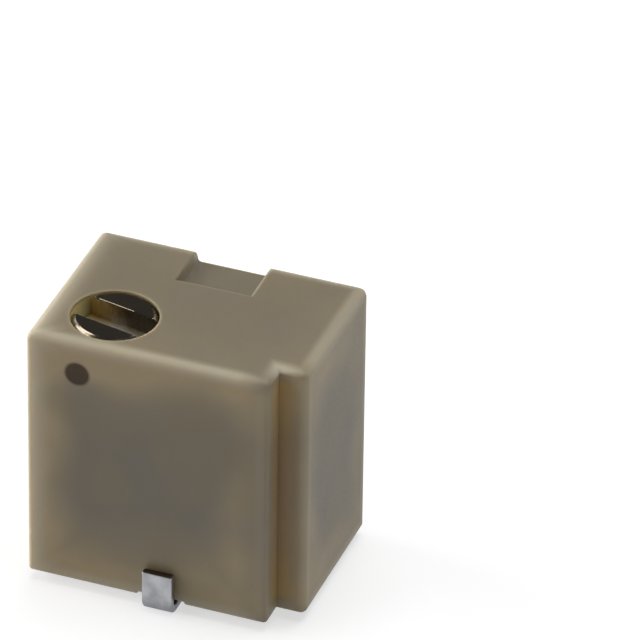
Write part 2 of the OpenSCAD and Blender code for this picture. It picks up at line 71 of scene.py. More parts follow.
def new_piece(name, points, faces):
    """A mesh object from an array of points and lists of corners, with its faces turned outwards."""
    mesh = bpy.data.meshes.new(name)
    mesh.from_pydata(np.asarray(points, float).tolist(), [], faces)
    shell = bmesh.new()
    shell.from_mesh(mesh)
    bmesh.ops.remove_doubles(shell, verts=shell.verts, dist=1e-6)
    bmesh.ops.recalc_face_normals(shell, faces=shell.faces)
    shell.to_mesh(mesh)
    shell.free()
    piece = bpy.data.objects.new(name, mesh)
    bpy.context.scene.collection.objects.link(piece)
    return piece


def extruded(name, outline, axis, start, end):
    """An outline of (u, v) points carried along one axis from start to end, and closed at both."""
    outline = np.asarray(outline, float)
    count = len(outline)
    u, v = np.tile(outline, (2, 1)).T
    along = np.repeat([start, end], count)
    columns = {"X": (along, u, v), "Y": (u, along, v), "Z": (u, v, along)}[axis]
    here = np.arange(count)
    after = np.roll(here, -1)
    sides = np.column_stack([here, after, after + count, here + count]).tolist()
    return new_piece(name, np.column_stack(columns), [here.tolist(), (here + count).tolist()] + sides)


def rectangle(u0, u1, v0, v1):
    """The corners between two values of u and two of v."""
    return [(u0, v0), (u1, v0), (u1, v1), (u0, v1)]


def circle(u, v, radius, sides):
    """Points at equal angles round a centre."""
    turn = np.arange(sides) * 2 * math.pi / sides
    return np.column_stack([u + radius * np.cos(turn), v + radius * np.sin(turn)])


def settle(piece):
    """Replaces a piece's mesh by what its modifiers make of it."""
    bpy.context.view_layer.update()
    shaped = piece.evaluated_get(bpy.context.evaluated_depsgraph_get())
    shaped = bpy.data.meshes.new_from_object(shaped)
    piece.modifiers.clear()
    piece.data = shaped


def cut_away(piece, *tools):
    """Takes the space of each tool out of a piece, and throws the tools away."""
    for tool in tools:
        cut = piece.modifiers.new("cut", "BOOLEAN")
        cut.operation, cut.solver, cut.object = "DIFFERENCE", "EXACT", tool
    settle(piece)
    for tool in tools:
        bpy.data.objects.remove(tool)


def round_edges(piece, radius_at, segments=6, sharp_degrees=25):
    """Rounds each sharp edge by radius_at(its middle, its direction), an array function in millimetres.
    An edge is sharp where its faces turn by more than sharp_degrees. At radius 0 it stays so."""
    mesh = piece.data
    points = np.empty(len(mesh.vertices) * 3)
    mesh.vertices.foreach_get("co", points)
    ends = np.empty(len(mesh.edges) * 2, int)
    mesh.edges.foreach_get("vertices", ends)
    ends = points.reshape(-1, 3)[ends.reshape(-1, 2)]
    normals = np.empty(len(mesh.polygons) * 3)
    mesh.polygons.foreach_get("normal", normals)
    sizes = np.empty(len(mesh.polygons), int)
    mesh.polygons.foreach_get("loop_total", sizes)
    edge_of_loop = np.empty(len(mesh.loops), int)
    mesh.loops.foreach_get("edge_index", edge_of_loop)
    loop_normals = np.repeat(normals.reshape(-1, 3), sizes, axis=0)
    pairs = loop_normals[np.argsort(edge_of_loop, kind="stable")].reshape(-1, 2, 3)
    sharp = (pairs[:, 0] * pairs[:, 1]).sum(1) < math.cos(math.radians(sharp_degrees))
    span = ends[:, 1] - ends[:, 0]
    radius = radius_at(ends.mean(1), span / np.linalg.norm(span, axis=1, keepdims=True)) * sharp
    weights = mesh.attributes.new("bevel_weight_edge", "FLOAT", "EDGE")
    weights.data.foreach_set("value", (radius / radius.max()).astype(np.float32))
    mesh.shade_smooth()
    left_sharp = mesh.attributes.new("sharp_edge", "BOOLEAN", "EDGE")
    left_sharp.data.foreach_set("value", sharp & (radius == 0))
    rounding = piece.modifiers.new("rounding", "BEVEL")
    rounding.limit_method, rounding.offset_type = "WEIGHT", "OFFSET"
    rounding.width, rounding.segments = float(radius.max()), segments
    rounding.use_clamp_overlap = False
    rounding.harden_normals = True
    settle(piece)


def fit(piece, body, slot, material, *nodes):
    """Brings a piece from millimetres to metres, gives it its material and lets it ride on a body."""
    piece.data.transform(Matrix.Scale(MM, 4))
    piece.data.materials.clear()
    piece.data.materials.append(material)
    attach(piece, body)
    if nodes:
        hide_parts(*nodes)


# Radii of the edges that the mould gives the case, the upright ones by their place on the plan
top_edge_r, top_step_r, foot_edge_r, bore_rim_r, channel_edge_r = 0.17, 0.09, 0.065, 0.01, 0.04
gate_inner_r, gate_edge_r = 0.07, 0.02
upright_edge_r = {(left, front): 0.08, (left, back): 0.1, (right, back): 0.12,
                  (right, front + step_d): 0.14, (right - step_w, front): 0.08}
# Places closer than this are one, and an edge whose direction has this share of an axis runs along it
near, parallel = 1e-3, 0.9


def case_edge_radius(middle, along):
    """Radius of the case's edges: by the mould's faces that an edge lies on."""
    x, y, z = middle.T
    lies = lambda value, place: np.abs(value - place) < near
    upright, front_to_back = np.abs(along[:, 2]) > parallel, np.abs(along[:, 1]) > parallel
    on_front_or_back = lies(y, front) | lies(y, back)
    side_faces = lies(x, left) | lies(x, right) | on_front_or_back
    step_side = lies(x, right - step_w) & (y < front + step_d)
    step_back = lies(y, front + step_d) & (x > right - step_w - near)
    radius = np.zeros(len(x))
    radius[lies(z, top) & side_faces] = top_edge_r
    radius[lies(z, top) & (step_side | step_back)] = top_step_r
    radius[lies(z, bottom) & (side_faces | step_side | step_back)] = foot_edge_r
    for (edge_x, edge_y), edge_r in upright_edge_r.items():
        radius[upright & lies(x, edge_x) & lies(y, edge_y)] = edge_r
    in_gate = (np.abs(x) < gate_w / 2 + near) & (y > back - gate_l - near) & (z > top - gate_depth - near)
    radius[in_gate] = np.where(upright[in_gate] | front_to_back[in_gate], gate_inner_r, gate_edge_r)
    from_screw = np.hypot(x - screw_x, y - screw_y)
    radius[lies(z, top) & lies(from_screw, bore_r * math.cos(math.pi / bore_sides))] = bore_rim_r
    in_channel = (np.abs(x) < channel_w / 2 + near) & (z < bottom + channel_depth + near)
    in_channel &= z > bottom - near
    radius[in_channel & (front_to_back | on_front_or_back)] = channel_edge_r
    return radius


body_plan = [(left, front), (right - step_w, front), (right - step_w, front + step_d),
             (right, front + step_d), (right, back), (left, back)]
room_step_x, room_step_y = right - step_w - step_wall, front + step_d + step_wall
room_plan = [(left + side_wall, front + front_wall), (room_step_x, front + front_wall),
             (room_step_x, room_step_y), (right - side_wall, room_step_y),
             (right - side_wall, back - back_wall), (left + side_wall, back - back_wall)]
substrate_low, substrate_high = (np.array(corner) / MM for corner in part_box("ceramic_substrate"))
film_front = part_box("resistive_track")[0].y / MM
retainer_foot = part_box("screw_retainer")[0].z / MM
rail_w, bar_t, bar_h, post_r, post_l = 0.4, 0.18, 0.34, 0.28, 0.7
ledge_w, ledge_l, ledge_h = 0.53, 1.3, 0.3
seat_gap = 0.01
room = extruded("room", room_plan, "Z", bottom - past, ceiling)
rail_span = (substrate_high[1] + seat_gap, back)
cut_away(room,
         extruded("boss", circle(screw_x, screw_y, boss_r, bore_sides), "Z", ceiling - boss_l, top),
         extruded("post", circle(wheel_x, wheel_z, post_r, post_sides),
                  "Y", front, front + front_wall + post_l),
         extruded("left_rail", rectangle(left, left + side_wall + rail_w, *rail_span), "Z",
                  substrate_low[2], top),
         extruded("right_rail", rectangle(right - side_wall - rail_w, right, *rail_span), "Z",
                  substrate_low[2], top),
         extruded("bar", rectangle(film_front - seat_gap - bar_t, film_front - seat_gap,
                                   ceiling - bar_h, top), "X", left, right),
         extruded("ledge", rectangle(left, left + ledge_w, front, front + front_wall + ledge_l), "Z",
                  retainer_foot - seat_gap - ledge_h, retainer_foot - seat_gap))
case = extruded("moulded_case", body_plan, "Z", bottom, top)
gate_floor_w = gate_w - 2 * gate_draft
gate_outline = [(-gate_floor_w / 2, top - gate_depth), (gate_floor_w / 2, top - gate_depth),
                (gate_w / 2, top), (gate_w / 2, top + past), (-gate_w / 2, top + past), (-gate_w / 2, top)]
cut_away(case, room,
         extruded("gate", gate_outline, "Y", back - gate_l, back + past),
         extruded("channel", rectangle(-channel_w / 2, channel_w / 2, bottom - past, bottom + channel_depth),
                  "Y", front - past, back + past),
         extruded("bore", circle(screw_x, screw_y, bore_r, bore_sides),
                  "Z", ceiling - boss_l - past, top + past))
round_edges(case, case_edge_radius)


def linear(code, alpha=1.0):
    """A colour written in hex, turned from sRGB to the linear values that a shader takes."""
    level = np.array([int(code[place:place + 2], 16) for place in (1, 3, 5)]) / 255
    level = np.where(level <= 0.04045, level / 12.92, ((level + 0.055) / 1.055) ** 2.4)
    return (*level.tolist(), alpha)


def feed(node, inputs):
    """Gives a node's sockets a value or another node's output each, by name or number, or in their order."""
    for key, value in inputs.items() if isinstance(inputs, dict) else enumerate(inputs):
        if isinstance(value, bpy.types.NodeSocket):
            node.id_data.links.new(value, node.inputs[key])
        else:
            node.inputs[key].default_value = value


def add(tree, kind, inputs=(), output=0, **settings):
    """Adds a shader node with its inputs and properties, and gives the named output, or all for None."""
    made = tree.nodes.new("ShaderNode" + kind)
    for key, value in settings.items():
        setattr(made, key, value)
    feed(made, inputs)
    return made.outputs if output is None else made.outputs[output]


def new_material(name):
    """A material with nodes: it, its tree and its surface shader."""
    made = bpy.data.materials.new(name)
    made.use_nodes = True
    return made, made.node_tree, made.node_tree.nodes["Principled BSDF"]


# The resin is slightly cloudy. Light that enters near an edge comes out again there, so edges look paler and
# yellower, and over the dark hollow inside the walls look greyer. Besides the subsurface scattering, this
# light and shade is painted into the colour below.
resin, tree, surface = new_material("glass_filled_moulding_resin")
half = (case_high - case_low) / 2
centre = (case_high + case_low) / 2
# Places are in millimetres from the case's centre, so the scale of a noise is its cells in a millimetre
left_side, front_side, back_side = left - centre[0], front - centre[1], back - centre[1]
step_x, step_y = right - step_w - centre[0], front + step_d - centre[1]
place = add(tree, "TexCoord", output="Object")
place = add(tree, "Mapping", {"Vector": place, "Location": Vector(-centre), "Scale": (1 / MM,) * 3})
where = add(tree, "SeparateXYZ", (place,), None)
folded = add(tree, "VectorMath", (place,), operation="ABSOLUTE")
depths = add(tree, "VectorMath", (Vector(half), folded), operation="SUBTRACT")
depth = add(tree, "SeparateXYZ", (depths,), None)
left_of_step = add(tree, "Math", (step_x, where["X"]), operation="SUBTRACT")
behind_step = add(tree, "Math", (where["Y"], step_y), operation="SUBTRACT")
from_notch = add(tree, "Math", (left_of_step, behind_step), operation="MAXIMUM")
# Of the four distances, to the sides, to the front or back, to the top or bottom, and to the step, the second
# smallest is that to an edge
near_wall = add(tree, "Math", (depth[0], depth[1]), operation="MINIMUM")
far_wall = add(tree, "Math", (depth[0], depth[1]), operation="MAXIMUM")
near_other = add(tree, "Math", (depth[2], from_notch), operation="MINIMUM")
far_other = add(tree, "Math", (depth[2], from_notch), operation="MAXIMUM")
both_near = add(tree, "Math", (near_wall, near_other), operation="MAXIMUM")
both_far = add(tree, "Math", (far_wall, far_other), operation="MINIMUM")
from_edge = add(tree, "Math", (both_near, both_far), operation="MINIMUM")
cloud = add(tree, "TexNoise", {"Vector": place, "Scale": 0.7, "Detail": 1.0}, "Fac")
cloud = add(tree, "MapRange", (cloud, 0.35, 0.65))
# Distances, on the plan, from the front and outer edges of the step, from its inner corner and from the bore
plan_place = add(tree, "VectorMath", (place, (1, 1, 0)), operation="MULTIPLY")
from_front, from_outer, from_step, from_bore = (
    add(tree, "VectorMath", (plan_place, (x - centre[0], y - centre[1], 0)), "Value", operation="DISTANCE")
    for x, y in ((right - step_w, front), (right, front + step_d), (right - step_w, front + step_d),
                 (screw_x, screw_y)))
from_front = add(tree, "MapRange", (from_front, 0.1, 0.6, 0.15, 1.0))
from_outer = add(tree, "MapRange", (from_outer, 0.1, 0.5, 0.4, 1.0))
# Painted glow: thick walls round the hollow are painted lighter than the thin ones before it, most so on the
# left, the screw's side, where the lamps shine from, but less at the front edge of the step
flow = add(tree, "TexNoise", {"Vector": place, "Scale": 0.9, "Detail": 1.0}, "Fac")
painted_wall_glow = add(tree, "MapRange", (flow, 0.35, 0.65, 0.7, 1.15))
lamp_side_share = add(tree, "MapRange", (where["X"], left_side, 0.0, 1.15, 0.7))
within = add(tree, "MapRange", (where["X"], left_side, left_side + 0.12, 0.35, 1.0))
near_front = add(tree, "MapRange", (where["Y"], front_side + 0.1, back_side, 1.0, 0.5))
within = add(tree, "Math", (within, near_front), operation="MULTIPLY")
below_top = add(tree, "MapRange", (depth[2], 0.0, 0.15, 0.25, 1.0))
for share in (lamp_side_share, within, below_top, from_front):
    painted_wall_glow = add(tree, "Math", (painted_wall_glow, share), operation="MULTIPLY")
wander = add(tree, "TexNoise", {"Vector": place, "Scale": 0.6, "Detail": 0.0}, "Fac")
wander = add(tree, "MapRange", (wander, 0.3, 0.7, -0.3, 0.3))
painted_rim_glow = add(tree, "Math", (from_edge, wander), operation="ADD")
painted_rim_glow = add(tree, "MapRange", (painted_rim_glow, 0.1, 1.1, 1.0, 0.0), interpolation_type="SMOOTHSTEP")
painted_rim_glow = add(tree, "Math", (painted_rim_glow, painted_wall_glow), operation="MULTIPLY", use_clamp=True)
# Painted glow: a band along the top and bottom of the sides, where light would come out through the thick top
# and base
painted_plate_glow = add(tree, "Math", (depth[2], wander), operation="ADD")
painted_plate_glow = add(tree, "MapRange", (painted_plate_glow, 0.0, 1.7, 0.48, 0.0), interpolation_type="SMOOTHSTEP")
on_side = add(tree, "MapRange", (depth[2], 0.02, 0.3))
for share in (on_side, within):
    painted_plate_glow = add(tree, "Math", (painted_plate_glow, share), operation="MULTIPLY")
painted_rim_glow = add(tree, "Math", (painted_rim_glow, painted_plate_glow), operation="ADD", use_clamp=True)
# Painted light: the top is tinted warmer and yellower than the sides
painted_top_warmth = add(tree, "MapRange", (where["Z"], half[2] - 0.2, half[2], 0.0, 0.25))
# Painted highlight: the edges themselves are painted palest, and more so on the left, the screw's side, where
# the lamps shine from
pale = add(tree, "MapRange", (from_edge, 0.0, 0.3, 0.7, 0.0), interpolation_type="SMOOTHSTEP")
for share in (from_outer, from_front):
    pale = add(tree, "Math", (pale, share), operation="MULTIPLY")
pale_left = add(tree, "MapRange", (from_edge, 0.0, 0.55, 1.0, 0.0), interpolation_type="SMOOTHSTEP")
by_left = add(tree, "MapRange", (where["X"], left_side + 0.1, left_side + 0.7, 1.0, 0.0))
for share in (by_left, within):
    pale_left = add(tree, "Math", (pale_left, share), operation="MULTIPLY")
pale = add(tree, "Math", (pale, pale_left), operation="MAXIMUM")
# Painted shade and bounce light: in the corner of the step light crosses the resin several times and comes
# out browner, and this is painted into the colour
painted_corner_shade = add(tree, "MapRange", (from_step, 0.06, 0.5, 0.85, 0.0), interpolation_type="SMOOTHSTEP")
from_top = add(tree, "MapRange", (depth[2], 0.1, 0.4), interpolation_type="SMOOTHSTEP")
right_of_step = add(tree, "Math", (where["X"], step_x - 0.02), operation="GREATER_THAN")
before_step = add(tree, "Math", (where["Y"], step_y + 0.02), operation="LESS_THAN")
for share in (from_top, right_of_step, before_step):
    painted_corner_shade = add(tree, "Math", (painted_corner_shade, share), operation="MULTIPLY")
near_end = add(tree, "MapRange", (depth[2], 0.3, 1.6, 1.0, 0.0))
# Painted highlight: a pale ring is painted round the mouth of the bore. Painted light and shade in the bore:
# its wall is painted bright where the case's side is near and light would shine through, and dark elsewhere
sunk = add(tree, "Math", (half[2], where["Z"]), operation="SUBTRACT")
painted_mouth_highlight = add(tree, "MapRange", (from_bore, bore_r, bore_r + 0.07, 0.4, 0.0))
by_mouth = add(tree, "Math", (sunk, 0.1), operation="LESS_THAN")
painted_mouth_highlight = add(tree, "Math", (painted_mouth_highlight, by_mouth), operation="MULTIPLY")
painted_bore_light_and_shade = add(tree, "Math", (from_bore, bore_r + 0.01), operation="LESS_THAN")
deep = add(tree, "MapRange", (sunk, 0.03, 0.1))
above_room = add(tree, "Math", (sunk, top_wall + boss_l), operation="LESS_THAN")
for share in (deep, above_room):
    painted_bore_light_and_shade = add(tree, "Math", (painted_bore_light_and_shade, share), operation="MULTIPLY")
thin = add(tree, "MapRange", (depth[0], 0.45, 0.85, 1.0, 0.0))
# Painted shade: the sunk gate mark is painted darker towards its floor
from_middle = add(tree, "Math", (where["X"],), operation="ABSOLUTE")
across_gate = add(tree, "Math", (from_middle, gate_w / 2), operation="LESS_THAN")
along_gate = add(tree, "Math", (where["Y"], back_side - gate_l), operation="GREATER_THAN")
under_gate = add(tree, "Math", (sunk, gate_depth + 0.01), operation="LESS_THAN")
painted_gate_shade = add(tree, "MapRange", (sunk, gate_depth - 0.15, gate_depth - 0.03, 0.0, 0.9))
for share in (across_gate, along_gate, under_gate):
    painted_gate_shade = add(tree, "Math", (painted_gate_shade, share), operation="MULTIPLY")
# A plain brown dot, burnt in by laser, marks the side that the screw is on
dot_r, dot_fade, dot_left_of_screw, dot_below_top = 0.2, 0.06, 0.3, 0.67
dot_place = (screw_x - centre[0] - dot_left_of_screw, 0.0, half[2] - dot_below_top)
flat_place = add(tree, "VectorMath", (place, (1, 0, 1)), operation="MULTIPLY")
from_dot = add(tree, "VectorMath", (flat_place, dot_place), "Value", operation="DISTANCE")
burn = add(tree, "MapRange", (from_dot, dot_r, dot_r + dot_fade, 0.9, 0.0))
on_front = add(tree, "Math", (where["Y"], front_side + 0.05), operation="LESS_THAN")
burn = add(tree, "Math", (burn, on_front), operation="MULTIPLY")
# The colour sockets of a Mix node, by number. Its float sockets are 2 and 3, and its share is 0
MIX_A, MIX_B, MIX_OUT = 6, 7, 2
body_colour, painted_corner_colour, painted_bore_colour = (
    add(tree, "Mix", {0: share, MIX_A: linear(one), MIX_B: linear(other)}, MIX_OUT, data_type="RGBA")
    for share, one, other in ((cloud, "#7f7666", "#857961"), (near_end, "#aa8f67", "#bd9f63"),
                              (thin, "#4c412e", "#e6dc9c")))
layers = ((painted_rim_glow, linear("#b09d79")), (painted_top_warmth, linear("#7e7052")), (pale, linear("#d0c7b0")),
          (painted_corner_shade, painted_corner_colour), (painted_mouth_highlight, linear("#b5a888")), (painted_bore_light_and_shade, painted_bore_colour),
          (painted_gate_shade, linear("#7c735f")), (burn, linear("#38260f")))
for share, colour in layers:
    body_colour = add(tree, "Mix", {0: share, MIX_A: body_colour, MIX_B: colour}, MIX_OUT, data_type="RGBA")
# The glass filling gives the skin a fine grain, drawn coarser than it is so that it shows, and the thick
# walls have faint sink marks
grain = add(tree, "TexNoise", {"Vector": place, "Scale": 14.0, "Detail": 3.0}, "Fac")
ripple = add(tree, "TexNoise", {"Vector": place, "Scale": 1.6, "Detail": 1.0}, "Fac")
relief = add(tree, "Bump", {"Height": ripple, "Strength": 1.0, "Distance": 8e-6})
relief = add(tree, "Bump", {"Height": grain, "Strength": 1.0, "Distance": 8e-7, "Normal": relief})
gloss = add(tree, "MapRange", (grain, 0.3, 0.7, 0.47, 0.57))
gloss = add(tree, "Mix", {0: burn, 2: gloss, 3: 0.9})
feed(surface, {"Base Color": body_colour, "Normal": relief, "Roughness": gloss, "IOR": 1.56,
               "Subsurface Weight": 0.8, "Subsurface Radius": (1.0, 0.8, 0.5), "Subsurface Scale": 0.3 * MM})
fit(case, "body", "case_resin", resin, "case")

# The base and its sealing bead.
# The base is moulded of the same resin round the three terminals, and closes the case from below.
# A bead of liquid resin, cured in the gap, seals it. Both are flush with the case's rim.
for name in ("base", "sealing_bead"):
    mesh = frame["nodes"][name].data
    mesh.materials.clear()
    mesh.materials.append(resin)

# The adjustment screw.
# Turned from brass bar and nickel plated: a slotted head, a groove for the O-ring, a neck for the
# retainer, a worm of one start, and a journal at its foot. The head's face is burnished almost to a mirror.
head_d, head_l, head_bevel, head_sides, burr_r = 1.52, 0.64, 0.08, 96, 0.025
slot_w, slot_depth, slot_angle = 0.6, 0.4, -12
ring_groove_d, ring_groove_l, land_l, neck_d = 0.88, 0.35, 0.12, 0.66
retainer_gap = 0.03
worm_pitch_d, tooth_module, backlash, pressure_angle = 0.9, 0.15, 0.036, 20
journal_d = 0.5
shaft_sides, worm_rows = 72, 170
# The head is flush with the case
head_top = top
head_foot = head_top - head_l
groove_foot = head_foot - ring_groove_l
land_foot = groove_foot - land_l
worm_top = retainer_foot - retainer_gap
worm_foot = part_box("base")[1].z / MM + retainer_gap
journal_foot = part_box("adjustment_screw")[0].z / MM


def grid_faces(rows, turns, ring=False):
    """Faces between neighbouring rows of points, where each row is closed, and for a ring also from the
    last row to the first. A face joins a point, the one after it, and the same two of the next row."""
    here = np.arange(rows * turns).reshape(rows, turns)
    after = np.roll(here, -1, axis=1)
    faces = np.stack([here, after, np.roll(after, -1, axis=0), np.roll(here, -1, axis=0)], axis=-1)
    return faces[:rows if ring else rows - 1].reshape(-1, 4).tolist()


def turned(name, heights, radii, axis=(0.0, 0.0)):
    """A surface of revolution whose radius may also vary round the axis: radii is an array of
    heights by angles. A point is (x + r cos a, y + r sin a, z), and both ends close in a pole."""
    radii = np.broadcast_to(np.asarray(radii, float), (len(heights), np.shape(radii)[-1]))
    rows, turns = radii.shape
    angle = np.arange(turns) * 2 * math.pi / turns
    levels = np.broadcast_to(np.asarray(heights, float)[:, None], radii.shape)
    points = np.stack([axis[0] + radii * np.cos(angle), axis[1] + radii * np.sin(angle), levels], axis=-1)
    points = points.reshape(-1, 3)
    poles = [(*axis, heights[0]), (*axis, heights[-1])]
    first, last = rows * turns, rows * turns + 1
    here = np.arange(turns)
    after = np.roll(here, -1)
    fans = np.column_stack([np.full(turns, first), after, here]).tolist()
    fans += np.column_stack([np.full(turns, last), here + first - turns, after + first - turns]).tolist()
    return new_piece(name, np.vstack([points, poles]), grid_faces(rows, turns) + fans)


def thread_radius(axial):
    """Radius of the worm's thread at a distance along the axis from its crest's middle: flat at the crest
    and at the root, and straight between them at the pressure angle."""
    slope = math.tan(math.radians(pressure_angle))
    thickness = math.pi * tooth_module / 2 - backlash
    rise, fall = tooth_module, 1.25 * tooth_module
    tip, root = worm_pitch_d / 2 + rise, worm_pitch_d / 2 - fall
    crest, foot = thickness / 2 - rise * slope, thickness / 2 + fall * slope
    return tip + (root - tip) * np.clip((axial - crest) / (foot - crest), 0, 1)


lead = math.pi * tooth_module
share_of_turn = np.arange(shaft_sides) / shaft_sides
worm_heights = np.linspace(worm_foot, worm_top, worm_rows)
# The axial distance to the nearest crest, on a right-hand thread with a crest towards the wheel
phase = (worm_heights[:, None] - wheel_z) / lead - share_of_turn
worm_radii = thread_radius(np.abs(phase - np.round(phase)) * lead)
below_worm = [(journal_foot, journal_d), (worm_foot, journal_d)]
above_worm = [(worm_top, neck_d), (land_foot, neck_d), (land_foot, head_d), (groove_foot, head_d),
              (groove_foot, ring_groove_d), (head_foot + 0.001, ring_groove_d)]
shaft_heights = np.concatenate([[z for z, _ in below_worm], worm_heights, [z for z, _ in above_worm]])
plain = np.ones(shaft_sides)
shaft_radii = np.vstack([plain * d / 2 for _, d in below_worm] + [worm_radii]
                        + [plain * d / 2 for _, d in above_worm])
shaft = turned("turned_shaft", shaft_heights, shaft_radii, (screw_x, screw_y))
shaft.data.shade_smooth()
shaft.data.set_sharp_from_angle(angle=math.radians(40))

head_radii = np.outer([head_d / 2, head_d / 2, head_d / 2 - head_bevel], np.ones(head_sides))
head = turned("slotted_head", [head_foot, head_top - head_bevel, head_top], head_radii, (screw_x, screw_y))
slot_turn = Matrix.Rotation(math.radians(slot_angle), 4, "Z")
slot = extruded("slot", rectangle(-head_d, head_d, -slot_w / 2, slot_w / 2),
                "Z", head_top - slot_depth, head_top + past)
slot.data.transform(Matrix.Translation((screw_x, screw_y, 0)) @ slot_turn)
cut_away(head, slot)


def head_edge_radius(middle, along):
    """Radius of the head's edges: none on the turned bevel, some where the cutter's burr was brushed off."""
    from_axis = np.hypot(middle[:, 0] - screw_x, middle[:, 1] - screw_y)
    slot_edge = (middle[:, 2] > head_top - 0.001) & (from_axis < head_d / 2 - head_bevel - 0.01)
    return np.where(slot_edge, burr_r, 0.0)


round_edges(head, head_edge_radius, 4)

nickel, tree, surface = new_material("burnished_nickel_plate")
place = add(tree, "TexCoord", output="Object")
place = add(tree, "Mapping", {"Vector": place, "Location": (-screw_x, -screw_y, 0), "Scale": (1 / MM,) * 3})
where = add(tree, "SeparateXYZ", (place,), None)
# The marks that the turning tool left lie about 0.035 mm apart
ring_marks = {"Vector": place, "Scale": 9.0, "Distortion": 1.5, "Detail": 2.0, "Detail Scale": 4.0}
rings = add(tree, "TexWave", ring_marks, "Fac", wave_type="RINGS", rings_direction="Z")
stain = add(tree, "TexNoise", {"Vector": place, "Scale": 3.0, "Detail": 3.0}, "Fac")
wear = add(tree, "MapRange", (stain, 0.35, 0.7))
plate_colour = add(tree, "Mix", {0: wear, MIX_A: linear("#a89f90"), MIX_B: linear("#8f8472")}, MIX_OUT,
                   data_type="RGBA")
# Below its edges the slot is as the cutter left it: duller, and scored from top to bottom
cut = add(tree, "MapRange", (where["Z"], head_top - 0.05, head_top - 0.02, 1.0, 0.0))
scored_place = add(tree, "Mapping", {"Vector": place, "Scale": (1, 1, 0.15)})
scores = add(tree, "TexNoise", {"Vector": scored_place, "Scale": 14.0, "Detail": 2.0}, "Fac")
shine = add(tree, "MapRange", (stain, 0.3, 0.7, 0.1, 0.2))
scored = add(tree, "MapRange", (scores, 0.35, 0.65, 0.15, 0.35))
roughness = add(tree, "Mix", {0: cut, 2: shine, 3: scored})
# The edges of the slot are worn in places, and catch the light there
on_plan = add(tree, "VectorMath", (place, (1, 1, 0)), operation="MULTIPLY")
from_axis = add(tree, "VectorMath", (on_plan,), "Value", operation="LENGTH")
inner_edge = add(tree, "Math", (from_axis, head_d / 2 - head_bevel - 0.015), operation="LESS_THAN")
not_cut = add(tree, "Math", (1.0, cut), operation="SUBTRACT")
on_edge = add(tree, "Math", (where["Z"], head_top - 0.002), operation="LESS_THAN")
for share in (inner_edge, not_cut):
    on_edge = add(tree, "Math", (on_edge, share), operation="MULTIPLY")
burr = add(tree, "TexNoise", {"Vector": place, "Scale": 3.0, "Detail": 1.0}, "Fac")
burr = add(tree, "MapRange", (burr, 0.47, 0.53, 0.6, 0.1))
roughness = add(tree, "Mix", {0: on_edge, 2: roughness, 3: burr})
# Painted shade: the edges are darkened where they are rough, which breaks up their highlight
painted_edge_shade = add(tree, "MapRange", (burr, 0.1, 0.45))
painted_edge_shade = add(tree, "Math", (painted_edge_shade, on_edge), operation="MULTIPLY")
# Painted reflection: at the left end the slot's walls are painted gold, for the lit resin that they reflect,
# and made rougher
slot_side = (-math.sin(math.radians(slot_angle)), math.cos(math.radians(slot_angle)), 0)
across_slot = add(tree, "VectorMath", (place, slot_side), "Value", operation="DOT_PRODUCT")
across_slot = add(tree, "Math", (across_slot,), operation="ABSOLUTE")
in_slot = add(tree, "Math", (across_slot, slot_w / 2 + 0.01), operation="LESS_THAN")
painted_gold_end = add(tree, "MapRange", (where["X"], -0.62, -0.15, 1.0, 0.0))
for share in (cut, in_slot):
    painted_gold_end = add(tree, "Math", (painted_gold_end, share), operation="MULTIPLY")
gold_end_roughness = add(tree, "MapRange", (scores, 0.4, 0.6, 0.3, 0.8))
roughness = add(tree, "Mix", {0: painted_gold_end, 2: roughness, 3: gold_end_roughness})
slot_floor = add(tree, "Math", (where["Z"], head_top - slot_depth + 0.03), operation="LESS_THAN")
roughness = add(tree, "Mix", {0: slot_floor, 2: roughness, 3: 0.6})
# Painted shade: the walls at the right end of the slot are painted darker
painted_slot_shade = add(tree, "MapRange", (where["X"], -0.25, 0.2, 0.0, 0.75))
on_wall = add(tree, "Math", (1.0, slot_floor), operation="SUBTRACT")
for share in (cut, in_slot, on_wall):
    painted_slot_shade = add(tree, "Math", (painted_slot_shade, share), operation="MULTIPLY")
for share, colour in ((painted_edge_shade, "#2a251f"), (painted_gold_end, "#c3ae78"), (painted_slot_shade, "#3c352d")):
    plate_colour = add(tree, "Mix", {0: share, MIX_A: plate_colour, MIX_B: linear(colour)}, MIX_OUT,
                       data_type="RGBA")
relief = add(tree, "Bump", {"Height": rings, "Strength": 1.0, "Distance": 4e-7})
dents = add(tree, "Math", (scores, cut), operation="MULTIPLY")
relief = add(tree, "Bump", {"Height": dents, "Strength": 1.0, "Distance": 4e-6, "Normal": relief})
feed(surface, {"Base Color": plate_colour, "Roughness": roughness, "Normal": relief, "Metallic": 1.0})
fit(shaft, "screw", "screw_metal", nickel)
fit(head, "screw", "screw_metal", nickel, "adjustment_screw")

# The terminals.
# Strips stamped from thin copper alloy sheet and tin plated, then bent: out of the base, flat along the
# mounting face and up a side. Shearing leaves their long edges slightly rounded, and the tin is matte.
strip_w, strip_t, strip_edge_r, cut_skin = 0.56, 0.15, 0.035, 0.012
front_rise, back_rise = 0.66, 0.42
leg_in, run_rise = 0.605, 0.36
exit_bend, wrap_bend = 0.06 + strip_t / 2, 0.1 + strip_t / 2


def bent_line(corners, bends, steps=12):
    """A line through corners, with each inner corner replaced by an arc of the bend's radius."""
    corners = np.asarray(corners, float)
    parts = [corners[:1]]
    for before, corner, after, bend in zip(corners[:-2], corners[1:-1], corners[2:], bends):
        into = (corner - before) / np.linalg.norm(corner - before)
        out = (after - corner) / np.linalg.norm(after - corner)
        turn = np.linspace(0, math.pi / 2, steps)[:, None]
        parts.append(corner - bend * (into - into * np.sin(turn)) + bend * out * (1 - np.cos(turn)))
    return np.vstack(parts + [corners[-1:]])


